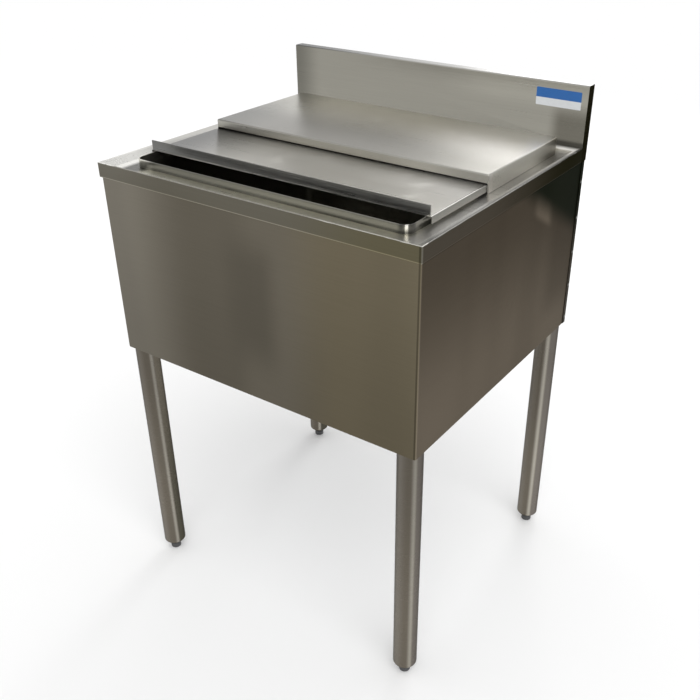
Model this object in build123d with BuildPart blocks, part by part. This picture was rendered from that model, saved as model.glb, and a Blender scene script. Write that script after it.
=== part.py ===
from build123d import *
import os

# Underbar ice bin: an insulated stainless tub on four legs, with a marine-edged deck,
# a backsplash, a raised collar round the well and a two-piece cover.
# Millimetres, +Z up, front towards -Y, origin on the floor under the middle.

os.makedirs("parts", exist_ok=True)

# Overall sizes
bin_width = 609.6
bin_depth = 533.4
rim_height = 812.8
splash_height = 101.6
splash_depth = 21.2

# Sheet thicknesses
deck_sheet = 1.2
casing_sheet = 1.0
rear_sheet = 1.0
base_sheet = 1.2
liner_sheet = 1.0
cover_sheet = 1.0

# Deck and backsplash
marine_drop = 9.3
marine_width = 19.3
rim_radius = 1.5
apron_height = 25.4
hem_height = 10.0
splash_lip = 14.0
splash_bend = 2.5
splash_cove = 3.0

# Collar and well of the liner
collar_front_gap = 38.0
collar_side_gap = 44.4
collar_rear_gap = 36.7
collar_height = 13.3
collar_radius = 16.0
well_fall = 8.0
floor_foam = 23.2
well_cove = 12.0
sump_side = 84.0
sump_radius = 40.0

# Casing, back and base
casing_height = 338.2
casing_bend = 3.0
casing_return = 20.0
back_flange = 10.0
base_recess = 44.0
base_flange = 40.0
base_notch_gap = 2.0
base_bend = 2.0

# Covers
cover_play = 6.75
cover_clearance = 0.3
slide_clearance = 0.65
slot_clearance = 1.8
cover_bend = 2.0
front_cover_depth = 228.0
front_flange_depth = 11.0
front_cover_open = 45.5
lip_height = 16.0
lip_inset = 2.5
rear_cover_depth = 242.0
rear_front_flange = 13.6
rear_bend = 2.5

# Legs and feet
leg_diameter = 41.3
leg_wall = 1.5
leg_casing_gap = 0.25
leg_end_height = 24.5
leg_end_bottom = 13.0
leg_end_neck = 21.0
leg_end_shoulder = 5.0
plug_length = 25.0
fit_clearance = 0.1
gusset_plate = 2.5
gusset_side = 88.0
gusset_edge = 12.0
gusset_corner = 22.0
sleeve_wall = 2.0
sleeve_length = 36.0
tip_diameter = 19.5
tip_height = 11.3
tip_round = 1.5
stud_diameter = 12.0
stud_clearance = 0.06
stud_length = 33.0
set_screw_diameter = 8.0
set_screw_drop = 20.0
set_screw_head = 3.0
set_screw_socket = 4.0

# Drain
drain_flange_diameter = 70.0
drain_flange_height = 1.5
drain_recess_depth = 3.0
drain_diameter = 33.4
drain_bore = 26.6
spigot_diameter = 32.0
drain_below_casing = 38.0
drain_hole_clearance = 0.5
gasket_height = 1.5
locknut_flats = 46.0
locknut_height = 9.0
thread_run = 12.0
washer_diameter = 52.0
washer_height = 1.5
strainer_diameter = 58.0
strainer_sheet = 1.2
strainer_seat = 3.0
strainer_hole = 5.0
strainer_ring = 9.0
foam_bore_clearance = 2.0

# Places worked out from the sizes above
side_x = bin_width / 2
front_y = -bin_depth / 2
rear_y = bin_depth / 2
top_z = rim_height + splash_height
deck_z = rim_height - marine_drop
deck_under_z = deck_z - deck_sheet
apron_z = rim_height - apron_height
splash_y = rear_y - splash_depth
splash_back_y = splash_y + deck_sheet

collar_z = deck_z + collar_height
collar_x = side_x - collar_side_gap
collar_front_y = front_y + collar_front_gap
collar_rear_y = splash_y - collar_rear_gap
collar_length = collar_rear_y - collar_front_y
well_y = (collar_front_y + collar_rear_y) / 2
liner_width = 2 * (collar_x - liner_sheet)
liner_length = collar_length - 2 * liner_sheet
liner_radius = collar_radius - liner_sheet
well_width = liner_width - 2 * liner_sheet
well_length = liner_length - 2 * liner_sheet
well_radius = liner_radius - liner_sheet

casing_z = rim_height - casing_height
casing_top_z = deck_under_z
casing_x = side_x - 2 * deck_sheet
casing_front_y = front_y + 2 * deck_sheet
casing_rear_y = rear_y - rear_sheet
inner_x = casing_x - casing_sheet
inner_front_y = casing_front_y + casing_sheet
inner_rear_y = casing_rear_y - casing_sheet
base_z = casing_z + base_recess
base_under_z = base_z - base_sheet
sump_z = base_z + floor_foam
floor_z = sump_z + well_fall

leg_radius = leg_diameter / 2
leg_x = inner_x - leg_casing_gap - leg_radius
leg_front_y = inner_front_y + leg_casing_gap + leg_radius
leg_rear_y = inner_rear_y - leg_casing_gap - leg_radius
leg_top_z = base_under_z - gusset_plate

front_cover_z = collar_z + cover_clearance
front_cover_top = front_cover_z + cover_sheet
front_inner_x = collar_x + cover_play
front_outer_x = front_inner_x + cover_sheet
front_cover_y = collar_front_y + front_cover_open
rear_inner_x = front_outer_x + slide_clearance
rear_outer_x = rear_inner_x + cover_sheet
rear_cover_back = collar_rear_y + cover_play + cover_sheet
rear_cover_front = rear_cover_back - rear_cover_depth
rear_flange_z = front_cover_top + slot_clearance
rear_cover_top = rear_flange_z + rear_front_flange
rear_cover_z = deck_z + cover_clearance

drain_top_z = sump_z - drain_recess_depth + gasket_height + drain_flange_height
drain_end_z = casing_z - drain_below_casing
thread_end_z = base_under_z - washer_height - locknut_height - thread_run

legs = {
    "front_left": (-leg_x, leg_front_y),
    "front_right": (leg_x, leg_front_y),
    "rear_left": (-leg_x, leg_rear_y),
    "rear_right": (leg_x, leg_rear_y),
}


def finish(piece, name):
    """Label one piece and write it to its own file."""
    piece.label = name
    export_step(piece, f"parts/{name}.step")


def upright(x, y):
    """Vertical plane through a leg or drain axis, for revolved profiles."""
    return Plane(origin=(x, y, 0), x_dir=(1, 0, 0), z_dir=(0, -1, 0))


def tub(grow):
    """Solid of the well up to the collar's rim, grown outwards by the given thickness."""
    with BuildPart() as solid:
        with BuildSketch(Plane.XY.offset(floor_z - grow)):
            with Locations((0, well_y)):
                RectangleRounded(well_width + 2 * grow, well_length + 2 * grow, well_radius + grow)
        extrude(amount=collar_z - floor_z + grow)
        with BuildSketch(Plane.XY.offset(floor_z - grow)):
            with Locations((0, well_y)):
                RectangleRounded(well_width + 2 * grow, well_length + 2 * grow, well_radius + grow)
        with BuildSketch(Plane.XY.offset(sump_z - grow)):
            with Locations((0, well_y)):
                RectangleRounded(sump_side, sump_side, sump_radius)
        loft(ruled=True)
        corner_edges = solid.edges().filter_by_position(Axis.Z, floor_z - grow - 0.01, floor_z - grow + 0.01)
        fillet(corner_edges, radius=well_cove + grow)
        with BuildSketch(Plane.XY.offset(sump_z - grow + drain_recess_depth)):
            with Locations((0, well_y)):
                Circle(drain_flange_diameter / 2 + fit_clearance + grow)
        extrude(amount=-2 * drain_recess_depth)
    return solid.part


# Hollow of the well and outside of the sheet that forms it
well_space = tub(0)
well_shell = tub(liner_sheet)

# Deck, marine edges, apron and backsplash, folded from one sheet
marine_slope = marine_drop / marine_width
under_shift = deck_sheet * ((1 + marine_slope**2) ** 0.5 - 1) / marine_slope
under_rise = (marine_drop + deck_sheet) / marine_slope


def dish(inset, low_z, spread, high_z):
    """Space above the deck: a rectangle that widens upwards to the front and sides."""
    with BuildPart() as space:
        for z, edge in ((low_z, inset), (high_z, inset - spread)):
            with BuildSketch(Plane.XY.offset(z)):
                with Locations((0, (front_y + edge + rear_y) / 2)):
                    Rectangle(bin_width - 2 * edge, rear_y - front_y - edge)
        loft(ruled=True)
    return space.part


deck_dish = dish(marine_width, deck_z, marine_width, rim_height)
under_dish = dish(marine_width - under_shift, deck_under_z, under_rise, rim_height)

with BuildPart() as deck_void:
    with BuildSketch(Plane.XY.offset(apron_z)):
        with Locations((0, (front_y + deck_sheet + rear_y) / 2)):
            Rectangle(bin_width - 2 * deck_sheet, rear_y - front_y - deck_sheet)
    extrude(amount=apron_height)
    add(under_dish, mode=Mode.SUBTRACT)

with BuildPart() as deck:
    with BuildSketch(Plane.XY.offset(apron_z)):
        with Locations((0, (front_y + splash_back_y) / 2)):
            Rectangle(bin_width, splash_back_y - front_y)
    extrude(amount=apron_height)
    add(deck_dish, mode=Mode.SUBTRACT)
    fillet(deck.edges().group_by(Axis.Z)[-1], radius=rim_radius)
    add(deck_void.part, mode=Mode.SUBTRACT)
    with BuildSketch(Plane.YZ) as splash_profile:
        with BuildLine():
            Polyline(
                (splash_y, deck_under_z),
                (splash_y, top_z),
                (rear_y, top_z),
                (rear_y, top_z - splash_lip),
                (rear_y - deck_sheet, top_z - splash_lip),
                (rear_y - deck_sheet, top_z - deck_sheet),
                (splash_back_y, top_z - deck_sheet),
                (splash_back_y, deck_under_z),
                close=True,
            )
        make_face()
        bends = splash_profile.vertices().group_by(Axis.Y)
        fillet(bends[-1], radius=splash_bend)
        fillet(bends[-2], radius=splash_bend - deck_sheet)
    extrude(amount=side_x, both=True)
    lengthwise = deck.edges().filter_by(Axis.X)
    at_splash = lengthwise.filter_by_position(Axis.Y, splash_y - 0.01, splash_y + 0.01)
    fillet(at_splash.filter_by_position(Axis.Z, deck_z - 0.01, deck_z + 0.01), radius=splash_cove)
    with BuildSketch(Plane.XY.offset(apron_z)):
        with Locations((0, (front_y + splash_back_y) / 2)):
            Rectangle(bin_width - 2 * deck_sheet, splash_back_y - front_y)
        with Locations((0, (casing_front_y + splash_back_y) / 2)):
            Rectangle(2 * casing_x, splash_back_y - casing_front_y, mode=Mode.SUBTRACT)
    extrude(amount=hem_height)
    with BuildSketch(Plane.XY.offset(deck_under_z)):
        with Locations((0, well_y)):
            RectangleRounded(liner_width, liner_length, liner_radius)
    extrude(amount=2 * deck_sheet, mode=Mode.SUBTRACT)
finish(deck.part, "deck_and_backsplash")

# End caps that close the backsplash channel, flush with the side aprons
with BuildPart() as right_cap:
    with BuildSketch(Plane.YZ.offset(side_x - deck_sheet)) as cap_profile:
        with Locations(((splash_y + rear_y) / 2, (apron_z + top_z) / 2)):
            Rectangle(rear_y - splash_y, top_z - apron_z)
        fillet(cap_profile.vertices().group_by(Axis.Y)[-1], radius=splash_bend)
        with Locations((splash_y, apron_z)):
            Rectangle(2 * deck_sheet, 2 * (deck_z - apron_z), mode=Mode.SUBTRACT)
    extrude(amount=deck_sheet)
    add(deck.part, mode=Mode.SUBTRACT)
finish(right_cap.part, "backsplash_end_right")

with BuildPart() as left_cap:
    add(right_cap.part.mirror(Plane.YZ))
finish(left_cap.part, "backsplash_end_left")

# Casing: front and both sides in one wrap, with returns at the rear
with BuildPart() as casing:
    with BuildSketch(Plane.XY.offset(casing_z)):
        with Locations((0, (casing_front_y + casing_rear_y) / 2)):
            RectangleRounded(2 * casing_x, casing_rear_y - casing_front_y, casing_bend)
            RectangleRounded(
                2 * inner_x, inner_rear_y - inner_front_y, casing_bend - casing_sheet, mode=Mode.SUBTRACT
            )
        with Locations((0, rear_y)):
            Rectangle(2 * (inner_x - casing_return), 2 * casing_return, mode=Mode.SUBTRACT)
    extrude(amount=casing_top_z - casing_z)
finish(casing.part, "casing_wrap")

# Rear panel: a shallow pan that laps the sides and closes the top under the backsplash
with BuildPart() as back:
    with BuildSketch(Plane.XY.offset(casing_z)):
        with Locations((0, rear_y - back_flange / 2)):
            Rectangle(2 * (casing_x + rear_sheet), back_flange)
        with Locations((0, rear_y - rear_sheet - back_flange / 2)):
            Rectangle(2 * casing_x, back_flange, mode=Mode.SUBTRACT)
    extrude(amount=deck_under_z - casing_z)
    with BuildSketch(Plane.XY.offset(deck_under_z)):
        with Locations((0, (splash_back_y + rear_y) / 2)):
            Rectangle(2 * (casing_x + rear_sheet), rear_y - splash_back_y)
    extrude(amount=rear_sheet)
finish(back.part, "rear_panel")

# Base pan, turned down inside the casing, with its corners cut away for the legs
base_width = 2 * inner_x
base_length = inner_rear_y - inner_front_y
base_y = (inner_front_y + inner_rear_y) / 2
base_notch = leg_casing_gap + gusset_side + base_notch_gap
drain_hole = drain_diameter / 2 + drain_hole_clearance

with BuildPart() as base:
    with BuildSketch(Plane.XY.offset(base_z - base_flange)):
        with Locations((0, base_y)):
            RectangleRounded(base_width, base_length, casing_bend)
    extrude(amount=base_flange)
    fillet(base.edges().group_by(Axis.Z)[-1], radius=base_bend)
    offset(amount=-base_sheet, openings=base.faces().sort_by(Axis.Z)[0])
    with BuildSketch(Plane.XY.offset(base_under_z)):
        with Locations((0, base_y)):
            with GridLocations(base_width, base_length, 2, 2):
                Rectangle(2 * base_notch, 2 * base_notch)
    extrude(amount=-base_flange, mode=Mode.SUBTRACT)
    with Locations((0, well_y, base_z)):
        Hole(drain_hole)
finish(base.part, "base_tray")

# Liner: coved tub with a floor that falls to the drain and a folded collar at the rim
with BuildPart() as liner:
    add(well_shell)
    with BuildSketch(Plane.XY.offset(deck_z)):
        with Locations((0, well_y)):
            RectangleRounded(2 * collar_x, collar_length, collar_radius)
    extrude(amount=collar_height)
    add(well_space, mode=Mode.SUBTRACT)
    with Locations((0, well_y, floor_z)):
        Hole(drain_hole)
    fillet(liner.edges().group_by(Axis.Z)[-1], radius=0.9 * liner_sheet)
finish(liner.part, "ice_liner")

# Rigid foam between the liner and the casing
with BuildPart() as foam:
    with BuildSketch(Plane.XY.offset(base_z)):
        with Locations((0, base_y)):
            RectangleRounded(base_width, base_length, casing_bend - casing_sheet)
    extrude(amount=deck_under_z - base_z)
    add(well_shell, mode=Mode.SUBTRACT)
    with Locations((0, well_y, floor_z)):
        Hole(drain_diameter / 2 + foam_bore_clearance)
finish(foam.part, "foam_insulation")

# Drain: gasket, flanged nipple, strainer, and the washer and locknut under the base
drain_plane = upright(0, well_y)
drain_axis = Axis((0, well_y, 0), (0, 0, 1))
recess_z = sump_z - drain_recess_depth

with BuildPart() as gasket:
    with BuildSketch(Plane.XY.offset(recess_z)):
        with Locations((0, well_y)):
            Circle(drain_flange_diameter / 2)
            Circle(drain_hole, mode=Mode.SUBTRACT)
    extrude(amount=gasket_height)
finish(gasket.part, "drain_gasket")

with BuildPart() as drain:
    with BuildSketch(drain_plane):
        with BuildLine():
            Polyline(
                (drain_bore / 2, drain_end_z),
                (spigot_diameter / 2, drain_end_z),
                (spigot_diameter / 2, thread_end_z),
                (drain_diameter / 2, thread_end_z),
                (drain_diameter / 2, drain_top_z - drain_flange_height),
                (drain_flange_diameter / 2, drain_top_z - drain_flange_height),
                (drain_flange_diameter / 2, drain_top_z),
                (strainer_diameter / 2 - strainer_seat, drain_top_z),
                (drain_bore / 2, drain_top_z - drain_flange_height / 2),
                close=True,
            )
        make_face()
    revolve(axis=drain_axis)
    chamfer(drain.edges().group_by(Axis.Z)[0].sort_by(SortBy.LENGTH)[-1], length=1.0)
finish(drain.part, "drain_nipple")

with BuildPart() as strainer:
    with BuildSketch(Plane.XY.offset(drain_top_z)):
        with Locations((0, well_y)):
            Circle(strainer_diameter / 2)
            Circle(strainer_hole / 2, mode=Mode.SUBTRACT)
            with PolarLocations(strainer_ring, 6):
                Circle(strainer_hole / 2, mode=Mode.SUBTRACT)
            with PolarLocations(2 * strainer_ring, 12):
                Circle(strainer_hole / 2, mode=Mode.SUBTRACT)
    extrude(amount=strainer_sheet)
finish(strainer.part, "drain_strainer")

with BuildPart() as washer:
    with BuildSketch(Plane.XY.offset(base_under_z)):
        with Locations((0, well_y)):
            Circle(washer_diameter / 2)
            Circle(drain_hole, mode=Mode.SUBTRACT)
    extrude(amount=-washer_height)
finish(washer.part, "drain_washer")

with BuildPart() as locknut:
    with BuildSketch(Plane.XY.offset(base_under_z - washer_height)):
        with Locations((0, well_y)):
            RegularPolygon(locknut_flats / 2, 6, major_radius=False)
            Circle(drain_diameter / 2, mode=Mode.SUBTRACT)
    extrude(amount=-locknut_height)
finish(locknut.part, "drain_locknut")

# Front cover: slides fore and aft on the collar, with an upturned lip for a handle
with BuildPart() as front_cover:
    front_back_y = front_cover_y + front_cover_depth
    with BuildSketch(Plane.XZ.offset(-front_back_y)) as channel:
        with Locations((0, front_cover_top - front_flange_depth / 2)):
            Rectangle(2 * front_outer_x, front_flange_depth)
        with Locations((0, front_cover_z - front_flange_depth / 2)):
            Rectangle(2 * front_inner_x, front_flange_depth, mode=Mode.SUBTRACT)
        corners = channel.vertices().group_by(Axis.Y)
        fillet(corners[-1], radius=cover_bend)
        fillet(corners[-2], radius=cover_bend - cover_sheet)
    extrude(amount=front_cover_depth)
    lip_thickness = 2 * cover_sheet
    lip_half = front_outer_x - lip_inset
    with BuildSketch(Plane.YZ) as lip_profile:
        with BuildLine():
            Polyline(
                (front_cover_y, front_cover_z),
                (front_cover_y + lip_thickness + cover_bend, front_cover_z),
                (front_cover_y + lip_thickness + cover_bend, front_cover_top),
                (front_cover_y + lip_thickness, front_cover_top),
                (front_cover_y + lip_thickness, front_cover_top + lip_height),
                (front_cover_y, front_cover_top + lip_height),
                close=True,
            )
        make_face()
        fillet(lip_profile.vertices().group_by(Axis.Y)[-1], radius=0.9 * cover_sheet)
        fillet(lip_profile.vertices().group_by(Axis.X)[0].sort_by(Axis.Y)[0], radius=cover_bend / 2)
    extrude(amount=lip_half, both=True)
finish(front_cover.part, "front_cover")

# Rear cover: a taller tray over the collar, open under its front edge for the front cover
with BuildPart() as rear_cover:
    with BuildSketch(Plane.XY.offset(rear_cover_z)):
        with Locations((0, (rear_cover_front + rear_cover_back) / 2)):
            RectangleRounded(2 * rear_outer_x, rear_cover_depth, cover_bend)
    extrude(amount=rear_cover_top - rear_cover_z)
    fillet(rear_cover.edges().group_by(Axis.Z)[-1], radius=rear_bend)
    offset(amount=-cover_sheet, openings=rear_cover.faces().sort_by(Axis.Z)[0])
    with BuildSketch(Plane.XY.offset(rear_cover_z)):
        with Locations((0, rear_cover_front)):
            Rectangle(2 * rear_inner_x, 2 * cover_bend + 2 * cover_sheet)
    extrude(amount=rear_flange_z - rear_cover_z, mode=Mode.SUBTRACT)
finish(rear_cover.part, "rear_cover")


def leg_gusset(x, y):
    """Plate under the base with turned-down inner edges and the sleeve that the leg fits over."""
    inward_x = 1 if x < 0 else -1
    inward_y = 1 if y < 0 else -1
    middle = gusset_side / 2 - leg_radius
    far = gusset_side - leg_radius
    sleeve_radius = leg_radius - leg_wall - fit_clearance
    with BuildPart() as gusset:
        with BuildSketch(Plane.XY.offset(leg_top_z)) as plate:
            with Locations((x + inward_x * middle, y + inward_y * middle)):
                Rectangle(gusset_side, gusset_side)
            diagonal = Axis((x, y, 0), (inward_x, inward_y, 0))
            chamfer(plate.vertices().sort_by(diagonal)[-1], length=gusset_corner)
            fillet(plate.vertices().sort_by(diagonal)[0], radius=casing_bend)
        extrude(amount=gusset_plate)
        edge_at = far - gusset_plate / 2
        edge_middle = middle - gusset_corner / 2
        with BuildSketch(Plane.XY.offset(leg_top_z)):
            with Locations((x + inward_x * edge_at, y + inward_y * edge_middle)):
                Rectangle(gusset_plate, gusset_side - gusset_corner)
            with Locations((x + inward_x * edge_middle, y + inward_y * edge_at)):
                Rectangle(gusset_side - gusset_corner, gusset_plate)
        extrude(amount=-gusset_edge)
        with BuildSketch(Plane.XY.offset(leg_top_z)):
            with Locations((x, y)):
                Circle(sleeve_radius)
                Circle(sleeve_radius - sleeve_wall, mode=Mode.SUBTRACT)
        extrude(amount=-sleeve_length)
        with BuildSketch(set_screw_plane(x, y)):
            Circle(set_screw_diameter / 2)
        extrude(amount=leg_radius, mode=Mode.SUBTRACT)
    return gusset.part


def set_screw_plane(x, y):
    """Plane on a leg's axis that looks inwards along its set screw."""
    inward = Vector(-1 if x > 0 else 1, -1 if y > 0 else 1, 0)
    return Plane(origin=(x, y, leg_top_z - set_screw_drop), z_dir=inward)


def leg_tube(x, y):
    """Leg tube with the hole for its set screw."""
    with BuildPart() as tube:
        with BuildSketch(Plane.XY.offset(leg_end_height)):
            with Locations((x, y)):
                Circle(leg_radius)
                Circle(leg_radius - leg_wall, mode=Mode.SUBTRACT)
        extrude(amount=leg_top_z - leg_end_height)
        with BuildSketch(set_screw_plane(x, y)):
            Circle(set_screw_diameter / 2)
        extrude(amount=leg_radius, mode=Mode.SUBTRACT)
    return tube.part


def leg_end(x, y):
    """Tapered end pressed into the tube, bored for the foot's stud."""
    plug_radius = leg_radius - leg_wall - fit_clearance
    stud_bore = stud_diameter / 2 + stud_clearance
    with BuildPart() as end:
        with BuildSketch(upright(x, y)) as profile:
            with BuildLine():
                Polyline(
                    (stud_bore, leg_end_bottom),
                    (leg_end_neck / 2, leg_end_bottom),
                    (leg_radius, leg_end_height - leg_end_shoulder / 2),
                    (leg_radius, leg_end_height),
                    (plug_radius, leg_end_height),
                    (plug_radius, leg_end_height + plug_length),
                    (stud_bore, leg_end_height + plug_length),
                    close=True,
                )
            make_face()
            shoulder = profile.vertices().group_by(Axis.X)[-1].sort_by(Axis.Y)[0]
            fillet(shoulder, radius=leg_end_shoulder)
        revolve(axis=Axis((x, y, 0), (0, 0, 1)))
    return end.part


def foot(x, y):
    """Moulded foot tip with the stud that screws up into the leg's end."""
    with BuildPart() as part:
        with BuildSketch(upright(x, y)) as profile:
            with BuildLine():
                Polyline(
                    (0, 0),
                    (tip_diameter / 2, 0),
                    (tip_diameter / 2, tip_height),
                    (stud_diameter / 2, tip_height),
                    (stud_diameter / 2, tip_height + stud_length),
                    (0, tip_height + stud_length),
                    close=True,
                )
            make_face()
            rim = profile.vertices().group_by(Axis.X)[-1].sort_by(Axis.Y)[0]
            fillet(rim, radius=tip_round)
        revolve(axis=Axis((x, y, 0), (0, 0, 1)))
    return part.part


def set_screw(x, y):
    """Socket set screw through the tube into the sleeve."""
    sleeve_radius = leg_radius - leg_wall - fit_clearance
    start = sleeve_radius - sleeve_wall
    plane = set_screw_plane(x, y)
    with BuildPart() as screw:
        with BuildSketch(plane.offset(start)):
            Circle(set_screw_diameter / 2)
        extrude(amount=leg_radius + set_screw_head - start)
        with BuildSketch(plane.offset(leg_radius + set_screw_head)):
            RegularPolygon(set_screw_socket / 2, 6, major_radius=False)
        extrude(amount=-set_screw_head, mode=Mode.SUBTRACT)
    return screw.part


screws = []
for corner, (x, y) in legs.items():
    finish(leg_gusset(x, y), f"leg_gusset_{corner}")
    finish(leg_tube(x, y), f"leg_tube_{corner}")
    finish(leg_end(x, y), f"leg_end_{corner}")
    finish(foot(x, y), f"foot_{corner}")
    screws.append(set_screw(x, y))

finish(Compound(children=screws), "leg_set_screws")
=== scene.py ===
import math

import bmesh
import bpy
from mathutils import Matrix, Vector


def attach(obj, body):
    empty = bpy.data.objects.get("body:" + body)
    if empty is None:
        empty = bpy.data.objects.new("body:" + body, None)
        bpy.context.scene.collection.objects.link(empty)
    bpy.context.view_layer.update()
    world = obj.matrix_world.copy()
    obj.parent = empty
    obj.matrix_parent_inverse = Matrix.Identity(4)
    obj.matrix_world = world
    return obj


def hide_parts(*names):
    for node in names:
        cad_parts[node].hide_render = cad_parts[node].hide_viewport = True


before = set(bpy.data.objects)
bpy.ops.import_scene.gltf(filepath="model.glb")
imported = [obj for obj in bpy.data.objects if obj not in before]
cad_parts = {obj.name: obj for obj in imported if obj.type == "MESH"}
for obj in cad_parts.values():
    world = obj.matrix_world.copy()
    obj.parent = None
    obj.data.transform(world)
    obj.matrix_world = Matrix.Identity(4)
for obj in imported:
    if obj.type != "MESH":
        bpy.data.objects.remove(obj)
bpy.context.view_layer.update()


# Casing: one sheet of brushed stainless, bent round the front and both sides and turned in
# at the rear. Its grain runs level all the way round, and its upper edge hides under the
# apron.

class Level:
    """One socket of a node tree. Arithmetic on it adds Math nodes, so maths reads as maths."""

    def __init__(self, plan, socket):
        self.plan = plan
        self.socket = socket

    def combined(self, operation, first, second):
        return self.plan.node("ShaderNodeMath", {"operation": operation}, {0: first, 1: second})

    def __add__(self, other):
        return self.combined("ADD", self, other)

    def __radd__(self, other):
        return self.combined("ADD", other, self)

    def __sub__(self, other):
        return self.combined("SUBTRACT", self, other)

    def __rsub__(self, other):
        return self.combined("SUBTRACT", other, self)

    def __mul__(self, other):
        return self.combined("MULTIPLY", self, other)

    def __rmul__(self, other):
        return self.combined("MULTIPLY", other, self)

    def __truediv__(self, other):
        return self.combined("DIVIDE", self, other)


class Plan:
    """A node tree with one way to add any node."""

    def __init__(self, tree):
        self.tree = tree

    def put(self, socket, value):
        """A value, a colour or another node's output goes into one input."""
        if isinstance(value, Level):
            self.tree.links.new(value.socket, socket)
        else:
            socket.default_value = value

    def node(self, kind, settings, inputs, output=0):
        """Adds a node from its type, its settings, and the values or links of its inputs."""
        fresh = self.tree.nodes.new(kind)
        for name, value in settings.items():
            setattr(fresh, name, value)
        for name, value in inputs.items():
            self.put(fresh.inputs[name], value)
        return Level(self, fresh.outputs[output])


class Finish(Plan):
    """One surface finish: a Principled shader and the nodes that vary it."""

    def __init__(self, name, metallic, **constants):
        self.material = bpy.data.materials.new(name)
        self.material.use_nodes = True
        super().__init__(self.material.node_tree)
        self.tree.nodes.clear()
        output = self.tree.nodes.new("ShaderNodeOutputMaterial")
        self.shader = self.tree.nodes.new("ShaderNodeBsdfPrincipled")
        self.tree.links.new(self.shader.outputs[0], output.inputs[0])
        self.shader.inputs["Metallic"].default_value = metallic
        for socket, value in constants.items():
            self.shader.inputs[socket.replace("_", " ")].default_value = value

    def place(self):
        """The point on the piece, in metres."""
        return self.node("ShaderNodeTexCoord", {}, {}, "Object")

    def axes(self, place):
        """The three coordinates of the point: to the right, to the rear and up."""
        return [self.node("ShaderNodeSeparateXYZ", {}, {0: place}, name) for name in "XYZ"]

    def noise(self, place, scale, detail=2.0, roughness=0.5):
        """Noise from 0 to 1; three scales stretch it along the axes."""
        if isinstance(scale, tuple):
            place = self.node("ShaderNodeMapping", {}, {"Vector": place, "Scale": scale})
            scale = 1.0
        inputs = {"Vector": place, "Scale": scale, "Detail": detail, "Roughness": roughness}
        return self.node("ShaderNodeTexNoise", {}, inputs)

    def between(self, value, low, high, start=0.0, end=1.0):
        """A value brought smoothly from one range to another and held at the ends."""
        settings = {"interpolation_type": "SMOOTHSTEP"}
        inputs = {0: value, 1: low, 2: high, 3: start, 4: end}
        return self.node("ShaderNodeMapRange", settings, inputs)

    def band(self, value, rise, full, fall, gone):
        """1 within a band of the value and 0 outside it, with a soft edge on either hand."""
        return self.between(value, rise, full) * self.between(value, fall, gone, 1.0, 0.0)

    def mixed(self, factor, first, second):
        """One colour turning into another."""
        inputs = {0: factor}
        for socket, colour in ((6, first), (7, second)):
            inputs[socket] = colour if isinstance(colour, Level) else (*colour, 1.0)
        return self.node("ShaderNodeMix", {"data_type": "RGBA"}, inputs, 2)

    def graded(self, value, low, high, first, second):
        """The first colour below a range of the value, the second above it."""
        return self.mixed(self.between(value, low, high), first, second)

    def shaded(self, colour, factor):
        """A colour made lighter or darker by a varying factor."""
        grey = self.node("ShaderNodeCombineColor", {}, {0: factor, 1: factor, 2: factor})
        settings = {"data_type": "RGBA", "blend_type": "MULTIPLY"}
        inputs = {0: 1.0, 6: colour if isinstance(colour, Level) else (*colour, 1.0), 7: grey}
        return self.node("ShaderNodeMix", settings, inputs, 2)

    def surface(self, colour, roughness, height=None, bump=0.2):
        """Hands the varying colour, roughness and relief to the shader."""
        self.put(self.shader.inputs["Base Color"], colour)
        self.put(self.shader.inputs["Roughness"], roughness)
        if height is not None:
            relief = 0.0002
            inputs = {"Strength": bump, "Distance": relief, "Height": height}
            self.put(self.shader.inputs["Normal"], self.node("ShaderNodeBump", {}, inputs))


def brushed_steel(name, tone, grain, roughness=0.28, bump=0.3, edge=1.0):
    """Number 4 brushed stainless; grain holds the noise scales, lowest along the brush lines.

    tone is a colour, or a function that gets the finish and the place and gives one. An edge
    below 1 darkens what the steel mirrors at a grazing angle.
    """
    steel = Finish(name, 1.0, Specular_Tint=(edge, edge, edge, 1.0))
    place = steel.place()
    fine = steel.noise(place, grain, 2.0, 0.6)
    coarse = steel.noise(place, tuple(0.3 * scale for scale in grain), 2.0, 0.6)
    clouds = steel.noise(place, 6.0, 3.0, 0.55)
    wiped = steel.between(steel.noise(place, (19.0, 19.0, 13.0), 3.0, 0.55), 0.55, 0.75)
    base = tone(steel, place) if callable(tone) else tone
    steel.surface(
        colour=steel.shaded(base, 0.87 + 0.10 * fine + 0.10 * coarse + 0.06 * clouds),
        roughness=roughness - 0.04 + 0.05 * coarse + 0.04 * clouds + 0.04 * wiped,
        height=fine + 0.8 * coarse,
        bump=bump,
    )
    return steel.material


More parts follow.
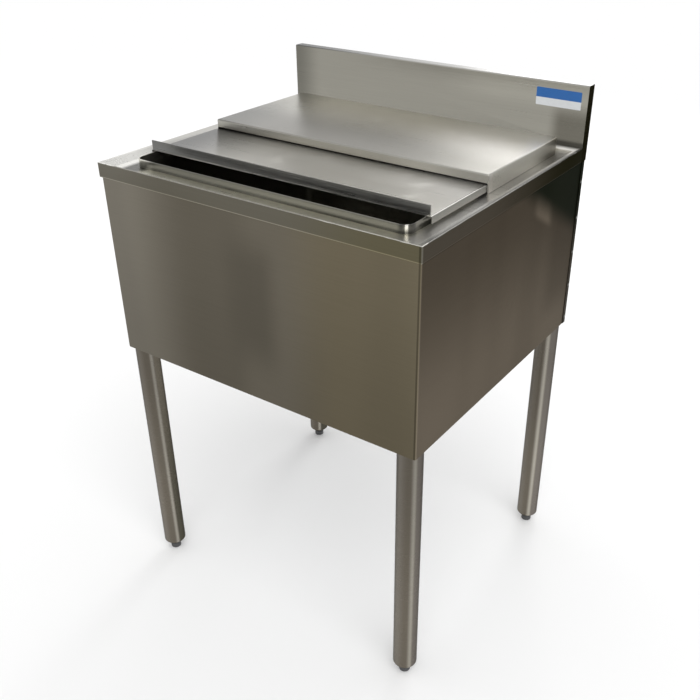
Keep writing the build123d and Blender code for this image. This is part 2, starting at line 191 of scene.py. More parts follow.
def casing_tone(steel, place):
    """Painted reflection and shade: greyer and lighter towards the left end, warmer to the right,
    deep at the rear right.
    """
    across, along, up = steel.axes(place)
    high = steel.between(up, 0.50, 0.79)
    # Soft vertical bands of painted reflection on the front and the sides.
    painted_reflection_bands = steel.between(steel.noise(place, (7.0, 7.0, 0.6), 1.0), 0.40, 0.62)

    # The front's painted reflection: lighter and greyer at the left end, warmer to the right,
    # lighter towards the top.
    front = steel.graded(across, -0.31, -0.10, (0.180, 0.166, 0.138), (0.113, 0.101, 0.079))
    front = steel.graded(across, 0.05, 0.17, front, (0.125, 0.107, 0.072))
    front = steel.shaded(front, 0.90 + 0.14 * high + 0.14 * painted_reflection_bands)
    # A painted dark band of reflection across the middle of the front.
    mottle_and_painted_dark_band = steel.band(across, -0.07, 0.01, 0.02, 0.07) * steel.band(up, 0.50, 0.60, 0.70, 0.78)
    front = steel.shaded(front, 1.0 - 0.24 * mottle_and_painted_dark_band)

    # The sides' painted reflection darkens towards the top; painted shade over the rear from 0.5 m
    # up.
    side = steel.mixed(high, (0.150, 0.127, 0.099), (0.072, 0.060, 0.046))
    lower = steel.between(along, 0.12, 0.19) * steel.between(up, 0.50, 0.58)
    side = steel.shaded(side, 1.0 - 0.26 * lower)
    # Painted reflection and shade: the right side darkens on a slant towards its upper rear
    # corner, past a painted sheen.
    rearward = along + 1.8 * up
    painted_sheen = steel.band(along, 0.07, 0.10, 0.13, 0.16) * steel.between(rearward, 1.405, 1.435)
    side = steel.shaded(side, 1.0 + 0.8 * painted_sheen)
    side = steel.graded(rearward, 1.425, 1.505, side, (0.019, 0.021, 0.016))
    # The left side keeps only the painted darkening towards the top.
    plain = steel.mixed(high, (0.150, 0.132, 0.106), (0.120, 0.108, 0.088))
    side = steel.graded(across, -0.1, 0.1, plain, side)
    side = steel.shaded(side, 0.95 + 0.10 * painted_reflection_bands)
    # A painted shadow line along the sides just under the apron.
    painted_shadow_under_apron = steel.between(up, 0.7845, 0.7855, 1.0, 0.5)
    side = steel.shaded(side, painted_shadow_under_apron)

    # The right front corner: a painted shade line on the front, then a painted highlight along the
    # bend.
    painted_corner_shade = steel.band(across, 0.2984, 0.2994, 0.3010, 0.3016)
    painted_bend_highlight = steel.between(along, -0.2612, -0.2604, 1.0, 0.0) * steel.between(across, 0.3014, 0.3019)
    front = steel.shaded(front, 1.0 - 0.45 * painted_corner_shade + 0.35 * painted_bend_highlight)
    side = steel.shaded(side, 1.0 + 0.45 * painted_bend_highlight)
    return steel.graded(along, -0.2635, -0.2615, front, side)


def added(name, data):
    """A new object in the scene, at the origin."""
    thing = bpy.data.objects.new(name, data)
    bpy.context.scene.collection.objects.link(thing)
    return thing


smooth_below = 35.0


def formed(node, *finishes, slot=None, body="bin", reshape=None):
    """The node's own mesh in its finish, with its facets joined and its bends smooth."""
    touching, speck = 0.00001, 0.000005
    piece = added(node + "_formed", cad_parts[node].data.copy())
    piece.data.materials.clear()
    for finish in finishes:
        piece.data.materials.append(finish)
    mesh = bmesh.new()
    mesh.from_mesh(piece.data)
    bmesh.ops.remove_doubles(mesh, verts=mesh.verts, dist=touching)
    bmesh.ops.dissolve_degenerate(mesh, edges=mesh.edges, dist=speck)
    if reshape:
        reshape(mesh)
    mesh.to_mesh(piece.data)
    mesh.free()
    piece.data.normals_split_custom_set([(0.0, 0.0, 0.0)] * len(piece.data.loops))
    piece.data.polygons.foreach_set("use_smooth", [True] * len(piece.data.polygons))
    piece.data.set_sharp_from_angle(angle=math.radians(smooth_below))
    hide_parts(node)
    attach(piece, body)


level_grain = (14.0, 14.0, 1500.0)
casing_steel = brushed_steel("casing_steel", casing_tone, level_grain, 0.30, edge=0.42)
formed("casing_wrap", casing_steel)


# Rear panel: a shallow pan of galvanised sheet that laps the sides. It faces the wall, so
# it keeps its mill surface and its spangle. Blind rivets hold its flanges to the casing.

def galvanised(name, tone, edge=1.0):
    """Zinc-coated mill sheet with a faint crystal pattern; tone may be a function."""
    zinc = Finish(name, 1.0, Specular_Tint=(edge, edge, edge, 1.0))
    place = zinc.place()
    base = tone(zinc, place) if callable(tone) else tone
    crystal = zinc.node("ShaderNodeTexVoronoi", {}, {"Vector": place, "Scale": 90.0}, "Color")
    level = zinc.node("ShaderNodeSeparateColor", {}, {0: crystal})
    mottle_and_painted_dark_band = zinc.noise(place, 9.0, 4.0)
    zinc.surface(
        colour=zinc.shaded(base, 0.80 + 0.18 * level + 0.18 * mottle_and_painted_dark_band),
        roughness=0.36 + 0.12 * level + 0.10 * mottle_and_painted_dark_band,
        height=mottle_and_painted_dark_band + 0.05 * level,
        bump=0.25,
    )
    return zinc.material


class Pattern(Plan):
    """A Geometry Nodes tree with named sizes, baked into a plain mesh on one body."""

    def __init__(self, name, **sizes):
        super().__init__(bpy.data.node_groups.new(name, "GeometryNodeTree"))
        self.tree.interface.new_socket(
            "Points", in_out="INPUT", socket_type="NodeSocketGeometry"
        )
        self.sizes = {}
        for size, value in sizes.items():
            label = size.replace("_", " ").capitalize()
            kind = "NodeSocketInt" if isinstance(value, int) else "NodeSocketFloat"
            socket = self.tree.interface.new_socket(label, in_out="INPUT", socket_type=kind)
            self.sizes[size] = (socket, value)
        self.tree.interface.new_socket(
            "Geometry", in_out="OUTPUT", socket_type="NodeSocketGeometry"
        )
        self.given = self.tree.nodes.new("NodeGroupInput")

    def points(self):
        """The points that the pattern stands on."""
        return Level(self, self.given.outputs["Points"])

    def size(self, name):
        """One named size of the pattern."""
        return Level(self, self.given.outputs[self.sizes[name][0].name])

    def ended(self, shape, finish):
        """Ends the tree as the export needs it: real geometry with its material."""
        shape = self.node("GeometryNodeRealizeInstances", {}, {"Geometry": shape})
        shape = self.node(
            "GeometryNodeSetMaterial", {}, {"Geometry": shape, "Material": finish}
        )
        output = self.tree.nodes.new("NodeGroupOutput")
        self.tree.links.new(shape.socket, output.inputs["Geometry"])

    def baked(self, name, points, facings, slot, body, angle=smooth_below):
        """Runs the tree on a list of points and hands the mesh to its body."""
        mesh = bpy.data.meshes.new(name)
        mesh.from_pydata(points, [], [])
        facing = mesh.attributes.new("facing", "FLOAT_VECTOR", "POINT")
        facing.data.foreach_set("vector", [value for row in facings for value in row])
        piece = added(name, mesh)
        modifier = piece.modifiers.new(name, "NODES")
        modifier.node_group = self.tree
        for socket, value in self.sizes.values():
            modifier[socket.identifier] = value
        view = bpy.context.evaluated_depsgraph_get()
        grown = bpy.data.meshes.new_from_object(piece.evaluated_get(view), depsgraph=view)
        piece.modifiers.clear()
        piece.data = grown
        grown.name = name
        grown.polygons.foreach_set("use_smooth", [True] * len(grown.polygons))
        grown.set_sharp_from_angle(angle=math.radians(angle))
        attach(piece, body)


def heads(name, finish, **sizes):
    """Fixing heads on points, each turned to the point's own facing."""
    crown_top, crown_foot, crown_seat = 0.35, 0.80, 0.499
    pattern = Pattern(name, **sizes)
    flange = pattern.node(
        "GeometryNodeMeshCylinder",
        {},
        {
            "Vertices": pattern.size("sides"),
            "Radius": pattern.size("radius"),
            "Depth": pattern.size("height"),
        },
    )
    crown = pattern.node(
        "GeometryNodeMeshCone",
        {},
        {
            "Vertices": 24,
            "Radius Top": pattern.size("radius") * crown_top,
            "Radius Bottom": pattern.size("radius") * crown_foot,
            "Depth": pattern.size("crown"),
        },
    )
    seat = pattern.node("ShaderNodeCombineXYZ", {}, {"Z": pattern.size("height") * crown_seat})
    crown = pattern.node("GeometryNodeTransform", {}, {"Geometry": crown, "Translation": seat})
    join = pattern.tree.nodes.new("GeometryNodeJoinGeometry")
    for part in (flange, crown):
        pattern.tree.links.new(part.socket, join.inputs[0])
    facing = pattern.node(
        "GeometryNodeInputNamedAttribute", {"data_type": "FLOAT_VECTOR"}, {"Name": "facing"}
    )
    turn = pattern.node("FunctionNodeAlignRotationToVector", {"axis": "Z"}, {"Vector": facing})
    placed = pattern.node(
        "GeometryNodeInstanceOnPoints",
        {},
        {
            "Points": pattern.points(),
            "Instance": Level(pattern, join.outputs[0]),
            "Rotation": turn,
        },
    )
    pattern.ended(placed, finish)
    return pattern


def rear_tone(zinc, place):
    """Plain zinc behind, and painted with the sides' shade and reflection where the flanges lap
    the casing.
    """
    inner_x, outer_x = 0.3020, 0.3024
    across, _, up = zinc.axes(place)
    # Painted shade: the right flange darkens towards the top like the right side.
    right = zinc.graded(up, 0.55, 0.74, (0.085, 0.075, 0.062), (0.020, 0.022, 0.016))
    flank = zinc.graded(across, -0.1, 0.1, (0.130, 0.117, 0.095), right)
    lapped = zinc.between(across * across, inner_x ** 2, outer_x ** 2)
    return zinc.mixed(lapped, (0.40, 0.41, 0.41), flank)


rear_zinc = galvanised("rear_zinc", rear_tone, 0.42)
formed("rear_panel", rear_zinc)

rivet_steel = brushed_steel("rivet_steel", (0.24, 0.24, 0.23), (400.0, 400.0, 400.0), 0.35)
flange_x = 0.3034
flange_y = 0.2617
lowest_rivet = 0.488
rivet_pitch = 0.0655
rivets_in_row = 5
rivets = []
outwards = []
for side in (-1, 1):
    for step in range(rivets_in_row):
        rivets.append((side * flange_x, flange_y, lowest_rivet + rivet_pitch * step))
        outwards.append((side, 0.0, 0.0))
rivet_heads = heads(
    "rivet_heads", rivet_steel, radius=0.0024, height=0.0006, crown=0.0007, sides=24
)
rivet_heads.baked("rear_rivets", rivets, outwards, "rear_panel", "bin")


# Base pan: galvanised sheet, notched at the corners for the legs and turned down inside the
# casing. It closes the foam from below, and carries the gussets and the drain.

base_zinc = galvanised("base_zinc", (0.36, 0.37, 0.37))
formed("base_tray", base_zinc)


# Legs: round stainless tube over a sleeve on a plated gusset, which is bolted up to the base
# pan, with set screws through the sleeve. A turned end is pressed into the tube, and a
# moulded foot tip screws in and out of it.

leg_x = 0.2805
leg_front_y = -0.2424
leg_rear_y = 0.2438
corners = {
    "front_left": (-leg_x, leg_front_y),
    "front_right": (leg_x, leg_front_y),
    "rear_left": (-leg_x, leg_rear_y),
    "rear_right": (leg_x, leg_rear_y),
}
gusset_zinc = galvanised("gusset_zinc", (0.34, 0.35, 0.35))
bolt_zinc = galvanised("bolt_zinc", (0.42, 0.42, 0.40))


def leg_tone(steel, place):
    """Painted light and shade: light round the left and rear, deep on the right, and a narrow
    painted highlight down the right.

    turned is the angle round a leg from its front to its right, a little apart from leg to leg.
    """
    across, along, up = steel.axes(place)
    right = steel.node("ShaderNodeMath", {"operation": "SIGN"}, {0: across})
    rear = steel.node("ShaderNodeMath", {"operation": "SIGN"}, {0: along})
    middle_y = (leg_rear_y + leg_front_y) / 2
    spread_y = (leg_rear_y - leg_front_y) / 2
    east = across - leg_x * right
    south = middle_y + spread_y * rear - along
    turned = steel.node("ShaderNodeMath", {"operation": "ARCTAN2"}, {0: east, 1: south})
    turned = turned + 0.19 * (1.0 + rear) - 0.07 * (1.0 - right)

    # Painted light by the angle round the leg: lighter round the left and rear.
    light = steel.between(turned, 0.5, -0.7) + steel.between(turned, 1.9, 2.7)
    base = steel.mixed(light, (0.132, 0.116, 0.093), (0.240, 0.222, 0.195))
    # Painted shade on the right flank, lighter higher up on the left legs.
    left = steel.graded(up, 0.10, 0.44, (0.084, 0.078, 0.060), (0.164, 0.146, 0.115))
    shade = steel.graded(across, -0.1, 0.1, left, (0.168, 0.152, 0.135))
    flank = steel.band(turned, 0.98, 1.24, 2.2, 2.8)
    base = steel.mixed(flank, base, shade)
    # A painted highlight down the right of each leg, stronger on the rear legs.
    painted_highlight_tone = steel.shaded((0.296, 0.278, 0.240), 1.0 + 0.12 * (1.0 + rear))
    painted_highlight_strip = steel.band(turned, 0.72 - 0.05 * (1.0 + right), 0.96, 0.98, 1.22)
    base = steel.mixed(painted_highlight_strip, base, painted_highlight_tone)
    # Painted shade: lighter low down, darker towards the top.
    return steel.shaded(base, steel.between(up, 0.10, 0.48, 1.20, 0.82))


leg_steel = brushed_steel("leg_steel", leg_tone, (60.0, 60.0, 1500.0), 0.26, edge=0.42)
end_steel = brushed_steel("end_steel", leg_tone, (60.0, 60.0, 1200.0), 0.30, edge=0.42)

tip_plastic = Finish("tip_plastic", 0.0)
tip_scuff = tip_plastic.noise(tip_plastic.place(), 160.0, 4.0, 0.6)
tip_plastic.surface(
    colour=tip_plastic.shaded((0.060, 0.060, 0.062), 0.8 + 0.5 * tip_scuff),
    roughness=0.42 + 0.25 * tip_scuff,
    height=tip_scuff,
)


def coil(name, finish, **sizes):
    """A screw thread: a diamond ridge wound round an upright axis at each point."""
    pattern = Pattern(name, **sizes)
    spiral = pattern.node(
        "GeometryNodeCurveSpiral",
        {},
        {
            "Resolution": pattern.size("steps"),
            "Rotations": pattern.size("length") / pattern.size("pitch"),
            "Start Radius": pattern.size("radius"),
            "End Radius": pattern.size("radius"),
            "Height": pattern.size("length"),
        },
    )
    spiral = pattern.node("GeometryNodeSetCurveNormal", {"mode": "Z_UP"}, {"Curve": spiral})
    ridge = pattern.node(
        "GeometryNodeCurvePrimitiveCircle",
        {"mode": "RADIUS"},
        {"Resolution": 4, "Radius": pattern.size("ridge")},
    )
    thread = pattern.node(
        "GeometryNodeCurveToMesh",
        {},
        {"Curve": spiral, "Profile Curve": ridge, "Fill Caps": True},
    )
    placed = pattern.node(
        "GeometryNodeInstanceOnPoints", {}, {"Points": pattern.points(), "Instance": thread}
    )
    pattern.ended(placed, finish)
    return pattern


tip_top = 0.0113
stud_core = 0.0053
stud_radius = 0.0060
hair = 0.0001


def stud_core_at(x, y):
    """The step that narrows a stud to its core, so its ridge comes out at the full size."""

    def thinned(mesh):
        for vertex in mesh.verts:
            reach = math.hypot(vertex.co.x - x, vertex.co.y - y)
            if vertex.co.z > tip_top - hair and 10 * hair < reach < stud_radius + hair:
                vertex.co.x = x + (vertex.co.x - x) * stud_core / stud_radius
                vertex.co.y = y + (vertex.co.y - y) * stud_core / stud_radius

    return thinned


stud_steel = brushed_steel("stud_steel", (0.34, 0.33, 0.31), (500.0, 500.0, 500.0), 0.36)
stud_thread = coil(
    "stud_thread",
    stud_steel,
    radius=stud_core,
    ridge=0.00066,
    pitch=0.00175,
    length=0.0305,
    steps=26,
)

thread_z = tip_top + 0.001
upwards, downwards = (0.0, 0.0, 1.0), (0.0, 0.0, -1.0)
bolt_steps = ((0.048, 0.0), (0.0, 0.048), (0.036, 0.036))
bolt_z = 0.5139
bolts = []
for corner, (x, y) in corners.items():
    foot = f"foot_{corner}"
    formed(f"leg_gusset_{corner}", gusset_zinc, slot="leg_gusset")
    formed(f"leg_tube_{corner}", leg_steel, slot="leg_tube")
    formed(f"leg_end_{corner}", end_steel, slot="leg_end")
    formed(foot, tip_plastic.material, slot="foot_tip", body=foot, reshape=stud_core_at(x, y))
    stud_thread.baked(
        f"stud_thread_{corner}", [(x, y, thread_z)], [upwards], "foot_tip", foot, angle=20.0
    )
    for step_x, step_y in bolt_steps:
        bolts.append((x - math.copysign(step_x, x), y - math.copysign(step_y, y), bolt_z))

bolt_heads = heads("bolt_heads", bolt_zinc, radius=0.0075, height=0.0050, crown=0.0006, sides=6)
bolt_heads.baked("gusset_bolts", bolts, [downwards] * len(bolts), "leg_gusset", "bin")

screw_steel = brushed_steel("screw_steel", (0.12, 0.12, 0.13), (300.0, 300.0, 300.0), 0.4)
formed("leg_set_screws", screw_steel)


# Liner: a coved tub of stainless sheet with ground welds, and its collar standing up through
# the deck. Rigid foam fills the room between it and the casing, and holds it.

def liner_tone(steel, place):
    """Plain down the well; painted reflection round the collar, deeper, with a painted highlight
    along its left end.
    """
    across, along, up = steel.axes(place)
    # The collar's painted reflection: deeper to the left, lighter to the right, and a painted
    # highlight along its left end.
    collar = steel.graded(across, -0.15, 0.05, (0.155, 0.152, 0.134), (0.205, 0.200, 0.174))
    collar = steel.graded(across, -0.240, -0.215, (0.70, 0.69, 0.63), collar)
    # Painted shade round the collar's right front corner, and a painted glint down it.
    corner = steel.between(across, 0.240, 0.248) * steel.between(along, -0.214, -0.208, 1.0, 0.0)
    collar = steel.mixed(corner, collar, (0.082, 0.080, 0.072))
    front = steel.between(along, -0.2185, -0.2165, 1.0, 0.0)
    glint = steel.band(across, 0.2520, 0.2534, 0.2554, 0.2568) * front
    collar = steel.mixed(glint, collar, (0.46, 0.45, 0.42))
    return steel.graded(up, 0.795, 0.806, (0.36, 0.35, 0.31), collar)


liner_steel = brushed_steel("liner_steel", liner_tone, (14.0, 1300.0, 1300.0), 0.30)
formed("ice_liner", liner_steel)

foam_filling = Finish("foam_filling", 0.0)
foam_cells = foam_filling.noise(foam_filling.place(), 240.0, 3.0)
foam_filling.surface(
    colour=foam_filling.shaded((0.60, 0.48, 0.25), 0.8 + 0.4 * foam_cells),
    roughness=0.75 + 0.2 * foam_cells,
    height=foam_cells,
)
formed("foam_insulation", foam_filling.material)


# Deck: marine edge, apron and backsplash folded from one sheet of brushed stainless, with
# welded end caps. The apron's corners are ground round and its lower edge is hemmed.

def apron_tone(steel, place):
    """Painted reflection: warmer to the right along the front, and deepest on the sides towards
    the rear.
    """
    across, along, up = steel.axes(place)
    front = steel.graded(across, -0.30, -0.14, (0.162, 0.152, 0.126), (0.120, 0.111, 0.088))
    front = steel.graded(across, 0.05, 0.25, front, (0.108, 0.096, 0.060))
    # A painted shade line on the front near the right corner.
    painted_corner_shade = steel.band(across, 0.2995, 0.3010, 0.3028, 0.3036)
    front = steel.shaded(front, 1.0 - 0.5 * painted_corner_shade)
    # Painted reflection on the sides, darker towards the rear.
    side = steel.graded(along, -0.12, 0.20, (0.066, 0.057, 0.045), (0.023, 0.022, 0.015))
    turned = steel.between(along, -0.2663, -0.2655)
    tone = steel.mixed(turned, front, side)
    # A painted glint down the right front corner.
    ground_band_and_glint = steel.between(along, -0.2646, -0.2638, 1.0, 0.0)
    ground_band_and_glint = ground_band_and_glint * steel.between(across, 0.3034, 0.3040)
    tone = steel.mixed(ground_band_and_glint, tone, (0.130, 0.122, 0.100))
    # A painted highlight along the hem, strongest on the front.
    painted_hem_highlight = steel.between(up, 0.7886, 0.7894, 1.0, 0.0)
    return steel.shaded(tone, 1.0 + (1.2 - 0.7 * turned) * painted_hem_highlight)


def deck_tone(steel, place):
    """Painted highlights and reflections: pale on top and greyer up the backsplash, with a crest
    that is deep at its left end.
    """
    across, along, up = steel.axes(place)
    back = steel.between(along, 0.210, 0.225)

    # Painted highlights and reflection on the deck: brightest at the front of the left slope, at
    # the front right and along the front strip.
    left = steel.graded(along, -0.21, -0.13, (0.90, 0.89, 0.85), (0.58, 0.57, 0.54))
    right = steel.graded(along, -0.06, 0.03, (0.99, 0.97, 0.93), (0.51, 0.49, 0.47))
    right = steel.graded(along, 0.06, 0.14, right, (0.80, 0.78, 0.74))
    # The right slope's painted reflection, darker towards its outer edge.
    slope = steel.graded(across, 0.288, 0.303, (0.66, 0.65, 0.62), (0.20, 0.195, 0.182))
    right = steel.graded(across, 0.2865, 0.2885, right, slope)
    right = steel.mixed(back, right, (0.86, 0.84, 0.79))
    middle = steel.graded(along, -0.232, -0.226, (0.98, 0.96, 0.87), (0.66, 0.645, 0.58))
    middle = steel.graded(across, -0.242, -0.222, (0.12, 0.117, 0.105), middle)
    # Painted reflection on the front rim, deeper on its left part.
    rolled = steel.graded(across, 0.11, 0.15, (0.30, 0.29, 0.26), (0.50, 0.49, 0.45))
    top = steel.graded(across, 0.255, 0.268, middle, right)
    top = steel.graded(along, -0.2510, -0.2500, rolled, top)
    top = steel.graded(across, -0.277, -0.263, left, top)

    # Painted reflection on the backsplash: deeper at the left end, lighter high on the right, and
    # a dark patch low at the right end.
    splash = steel.graded(across, -0.30, -0.24, (0.17, 0.165, 0.142), (0.29, 0.28, 0.243))
    high_right = steel.between(across, 0.0, 0.15) * steel.between(up, 0.86, 0.89)
    splash = steel.shaded(splash, 1.0 + 0.2 * high_right)
    low_right = steel.between(across, 0.235, 0.262) * steel.between(up, 0.85, 0.89, 1.0, 0.0)
    splash = steel.mixed(low_right, splash, (0.15, 0.142, 0.118))
    # A painted shadow low on the backsplash, above the rear cover's rear edge.
    painted_cover_shadow = steel.between(across, -0.272, -0.266) * steel.between(up, 0.817, 0.823, 1.0, 0.0)
    splash = steel.shaded(splash, 1.0 - 0.6 * painted_cover_shadow)
    # The crest's painted reflection: deep at its left end and darker again towards the right end.
    crest = steel.graded(across, -0.30, 0.0, (0.080, 0.080, 0.076), (0.42, 0.416, 0.40))
    crest = steel.shaded(crest, steel.between(across, 0.1, 0.28, 1.0, 0.74))
    splash = steel.graded(up, 0.9125, 0.9142, splash, crest)
    return steel.mixed(steel.between(up, 0.806, 0.812) * back, top, splash)


def apron_edges(mesh):
    """Grinds the apron's corners and hem round, and gives the apron its own finish."""
    front_face, side_face = -0.2665, 0.3046
    hem_z, rim_z = 0.7876, 0.8105
    corner_radius, folded = 0.0008, 1.0
    front_skin, side_skin, hem_top, upright = -0.2650, 0.3034, 0.7880, 0.6
    bmesh.ops.dissolve_limit(
        mesh, angle_limit=math.radians(0.2), verts=mesh.verts[:], edges=mesh.edges[:]
    )
    picked = []
    for edge in mesh.edges:
        middle = (edge.verts[0].co + edge.verts[1].co) / 2
        front = middle.y < front_face
        side = abs(middle.x) > side_face
        sharp = edge.is_manifold and edge.calc_face_angle() > folded
        lower = middle.z < hem_z and (front or side)
        corner = middle.z < rim_z and front and side
        if sharp and (lower or corner):
            picked.append(edge)
    bmesh.ops.bevel(
        mesh, geom=picked, offset=corner_radius, segments=3, profile=0.5, affect="EDGES"
    )
    for face in mesh.faces:
        middle = face.calc_center_median()
        turned = abs(face.normal.z) < upright or middle.z < hem_top
        outside = middle.y < front_skin or abs(middle.x) > side_skin
        face.material_index = 1 if outside and turned else 0


def cap_tone(steel, place):
    """The right cap is painted with the shade that darkens the top of the right side."""
    across = steel.axes(place)[0]
    return steel.graded(across, -0.1, 0.1, (0.120, 0.108, 0.088), (0.050, 0.048, 0.035))


lengthwise_grain = (14.0, 1500.0, 1500.0)
deck_steel = brushed_steel("deck_steel", deck_tone, lengthwise_grain, bump=0.8)
apron_steel = brushed_steel("apron_steel", apron_tone, level_grain, edge=0.42)
cap_steel = brushed_steel("cap_steel", cap_tone, level_grain, edge=0.3)
formed("deck_and_backsplash", deck_steel, apron_steel, reshape=apron_edges)
formed("backsplash_end_left", cap_steel, slot="deck_and_backsplash")
formed("backsplash_end_right", cap_steel, slot="deck_and_backsplash")


# Sticker: a blank film label with rounded corners, blue over white. It is pressed onto the
# right end of the backsplash.

def blank_sticker(finish):
    """A thin plate with rounded corners, centred on the face of the backsplash."""
    left, right, bottom, top = 0.2125, 0.2933, 0.8735, 0.9026
    radius, face_y, film, arc_steps = 0.0016, 0.2455, 0.00018, 4
    outline = []
    for turn, (x, z) in enumerate(((right, top), (left, top), (left, bottom), (right, bottom))):
        centre_x = x - radius if x == right else x + radius
        centre_z = z - radius if z == top else z + radius
        for step in range(arc_steps + 1):
            angle = math.radians(90.0 * (turn + step / arc_steps))
            outline.append(
                (centre_x + radius * math.cos(angle), centre_z + radius * math.sin(angle))
            )
    mesh = bmesh.new()
    front = [mesh.verts.new((x, face_y - film, z)) for x, z in outline]
    back = [mesh.verts.new((x, face_y + film, z)) for x, z in outline]
    mesh.faces.new(front)
    mesh.faces.new(reversed(back))
    for step in range(len(outline)):
        after = (step + 1) % len(outline)
        mesh.faces.new((front[after], front[step], back[step], back[after]))
    bmesh.ops.recalc_face_normals(mesh, faces=mesh.faces)
    data = bpy.data.meshes.new("backsplash_sticker")
    mesh.to_mesh(data)
    mesh.free()
    data.materials.append(finish)
    piece = added("backsplash_sticker", data)
    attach(piece, "bin")


sticker_film = Finish("sticker_film", 0.0, Coat_Weight=0.4, Coat_Roughness=0.15)
sticker_place = sticker_film.place()
sticker_rub = sticker_film.noise(sticker_place, 130.0, 3.0)
sticker_up = sticker_film.axes(sticker_place)[2]
sticker_colour = sticker_film.graded(
    sticker_up, 0.8862, 0.8866, (0.64, 0.66, 0.68), (0.004, 0.105, 0.36)
)
sticker_film.surface(
    colour=sticker_film.shaded(sticker_colour, 0.92 + 0.14 * sticker_rub),
    roughness=0.30 + 0.15 * sticker_rub,
    height=sticker_rub,
    bump=0.05,
)
blank_sticker(sticker_film.material)


# Drain: a flanged stainless nipple on a rubber gasket, with a strainer in its mouth, and held
# by a washer and a locknut under the base. Its thread runs on below the nut for the waste pipe.

gasket_rubber = Finish("gasket_rubber", 0.0)
rubber_grain = gasket_rubber.noise(gasket_rubber.place(), 200.0)
gasket_rubber.surface(
    colour=gasket_rubber.shaded((0.022, 0.022, 0.022), 0.8 + 0.4 * rubber_grain),
    roughness=0.55 + 0.2 * rubber_grain,
)
drain_steel = brushed_steel("drain_steel", (0.44, 0.43, 0.40), (300.0, 300.0, 300.0), 0.28)
formed("drain_gasket", gasket_rubber.material)
for node in ("drain_nipple", "drain_strainer", "drain_washer", "drain_locknut"):
    formed(node, drain_steel)
drain_y = -0.00995
drain_thread_z = 0.4955
drain_thread = coil(
    "drain_thread",
    drain_steel,
    radius=0.0166,
    ridge=0.00075,
    pitch=0.0020,
    length=0.0105,
    steps=60,
)
drain_thread.baked(
    "drain_thread", [(0.0, drain_y, drain_thread_z)], [upwards], "drain_nipple", "bin", angle=20.0
)


# Covers: two folded stainless lids. The front one slides on the collar and has an upturned
# lip for a handle; the rear one stands over it, with its corners welded and ground.

def front_cover_tone(steel, place):
    """Painted highlight towards the right end, and painted reflection, deeper, on the lip and the
    right flank.
    """
    across, along, up = steel.axes(place)
    # The top's painted highlight grows towards the right end.
    left = steel.graded(across, -0.26, -0.10, (0.145, 0.142, 0.136), (0.66, 0.64, 0.59))
    right = steel.graded(along, -0.15, -0.07, (0.90, 0.88, 0.83), (1.0, 0.98, 0.94))
    top = steel.graded(across, 0.04, 0.25, left, right)
    # A painted highlight along the right top edge, and painted shade down the right flank.
    top = steel.graded(across, 0.2640, 0.2652, top, (0.56, 0.55, 0.52))
    flank = steel.between(across, 0.2656, 0.2664) * steel.between(up, 0.8174, 0.8180, 1.0, 0.0)
    top = steel.mixed(flank, top, (0.26, 0.255, 0.235))
    # The lip's painted reflection: deep at the left, lighter towards the right.
    lip = steel.graded(across, -0.20, 0.0, (0.155, 0.155, 0.148), (0.255, 0.250, 0.232))
    lip = steel.graded(across, 0.16, 0.26, lip, (0.34, 0.335, 0.315))
    return steel.graded(up, 0.8185, 0.8200, top, lip)


def rear_cover_tone(steel, place):
    """Painted highlight and reflection, lighter towards the rear and the right, with a band at
    each front corner where the welds were dressed by grinding.
    """
    across, along, up = steel.axes(place)
    # The top's painted reflection: lighter towards the rear and the right, deeper at the left end.
    rear = steel.between(along, 0.03, 0.205)
    left = steel.mixed(rear, (0.29, 0.28, 0.257), (0.90, 0.87, 0.78))
    end = steel.mixed(rear, (0.20, 0.196, 0.180), (0.56, 0.545, 0.49))
    left = steel.graded(across, -0.26, -0.16, end, left)
    right = steel.graded(along, 0.0, 0.17, (0.36, 0.35, 0.32), (1.0, 0.98, 0.94))
    top = steel.graded(across, 0.02, 0.20, left, right)
    # The flanges' painted reflection, deeper at the right end, with painted shade towards the rear
    # of the sides.
    flange = steel.graded(across, -0.25, 0.05, (0.41, 0.40, 0.362), (0.43, 0.42, 0.38))
    flange = steel.graded(across, 0.14, 0.25, flange, (0.28, 0.273, 0.248))
    side = steel.graded(along, 0.12, 0.20, (0.42, 0.41, 0.365), (0.21, 0.20, 0.172))
    flange = steel.graded(along, -0.0235, -0.0225, flange, side)
    ground_band_and_glint = steel.band(along, -0.0235, -0.0225, -0.014, -0.010)
    flange = steel.mixed(ground_band_and_glint, flange, (0.46, 0.44, 0.40))
    return steel.graded(up, 0.8305, 0.8330, flange, top)


front_steel = brushed_steel("front_cover_steel", front_cover_tone, lengthwise_grain, bump=0.8)
rear_steel = brushed_steel("rear_cover_steel", rear_cover_tone, lengthwise_grain, bump=0.8)
formed("front_cover", front_steel, body="front_cover")
formed("rear_cover", rear_steel, body="rear_cover")


# Studio: a plain white floor that keeps the bin's shadow, one wide soft sun, a soft box
# behind for the light on the crest and the level steel, white air, and the camera.

def studio_floor():
    """White floor that takes the shadow."""
    mesh = bpy.data.meshes.new("studio_floor")
    reach = 14.0
    mesh.from_pydata(
        [(-reach, -reach, 0.0), (reach, -reach, 0.0), (reach, reach, 0.0), (-reach, reach, 0.0)],
        [],
        [(0, 1, 2, 3)],
    )
    floor = added("studio_floor", mesh)
    paper = Finish("floor_paper", 0.0, Base_Color=(0.92, 0.92, 0.92, 1.0), Roughness=0.8)
    mesh.materials.append(paper.material)


studio_floor()

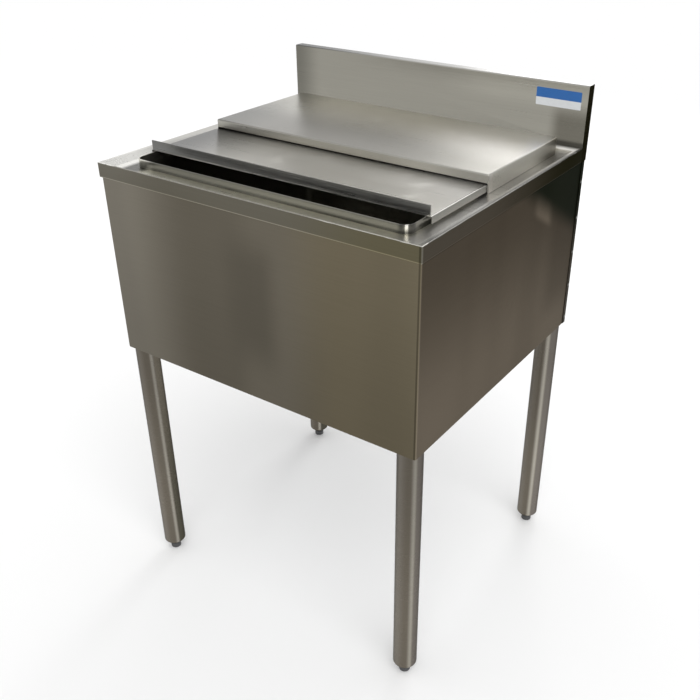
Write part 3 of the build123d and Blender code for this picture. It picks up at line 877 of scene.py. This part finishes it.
soft_sun = bpy.data.lights.new("soft_sun", "SUN")
soft_sun.energy = 1.10
soft_sun.angle = math.radians(50.0)
sun_way = Vector((-0.50, 0.45, -0.80))
sun = added("soft_sun", soft_sun)
sun.rotation_euler = sun_way.to_track_quat("-Z", "Y").to_euler()

soft_box = bpy.data.lights.new("rear_softbox", "AREA")
soft_box.shape = "RECTANGLE"
soft_box.size = 1.3
soft_box.size_y = 2.4
soft_box.energy = 22.0
box_aim = Vector((0.1, 0.0, 0.85))
box = added("rear_softbox", soft_box)
box.location = (-0.62, 3.0, 2.2)
box.rotation_euler = (box_aim - box.location).to_track_quat("-Z", "Y").to_euler()
box.visible_camera = False

world = bpy.data.worlds.new("studio_air")
world.use_nodes = True
bpy.context.scene.world = world
air = Plan(world.node_tree)
air_level = 0.82
seen = (
    air.node("ShaderNodeLightPath", {}, {}, "Is Camera Ray")
    + air.node("ShaderNodeLightPath", {}, {}, "Is Glossy Ray")
    + air.node("ShaderNodeLightPath", {}, {}, "Is Transmission Ray")
)
background = world.node_tree.nodes["Background"]
air.put(background.inputs[0], (1.0, 1.0, 1.0, 1.0))
air.put(background.inputs[1], air_level + (1.0 - air_level) * seen)

bpy.context.scene.view_settings.view_transform = "Standard"

photo_side = 700
focal_pixels = 874.07
centre_pixels = (378.57, 360.87)
azimuth = math.radians(33.982)
elevation = math.radians(30.299)
roll = math.radians(0.25)
stand = (0.8319, -1.1465, 1.2438)
lens = bpy.data.cameras.new("camera")
lens.sensor_width = 36.0
lens.lens = focal_pixels / photo_side * lens.sensor_width
lens.shift_x = (photo_side / 2 - centre_pixels[0]) / photo_side
lens.shift_y = (centre_pixels[1] - photo_side / 2) / photo_side
forward = Vector((
    -math.sin(azimuth) * math.cos(elevation),
    math.cos(azimuth) * math.cos(elevation),
    -math.sin(elevation),
))
right = Vector((math.cos(azimuth), math.sin(azimuth), 0.0))
up = right.cross(forward)
facing = Matrix((right, up, -forward)).transposed().to_4x4()
camera = added("camera", lens)
camera.matrix_world = Matrix.Translation(stand) @ facing @ Matrix.Rotation(roll, 4, "Z")
bpy.context.scene.camera = camera
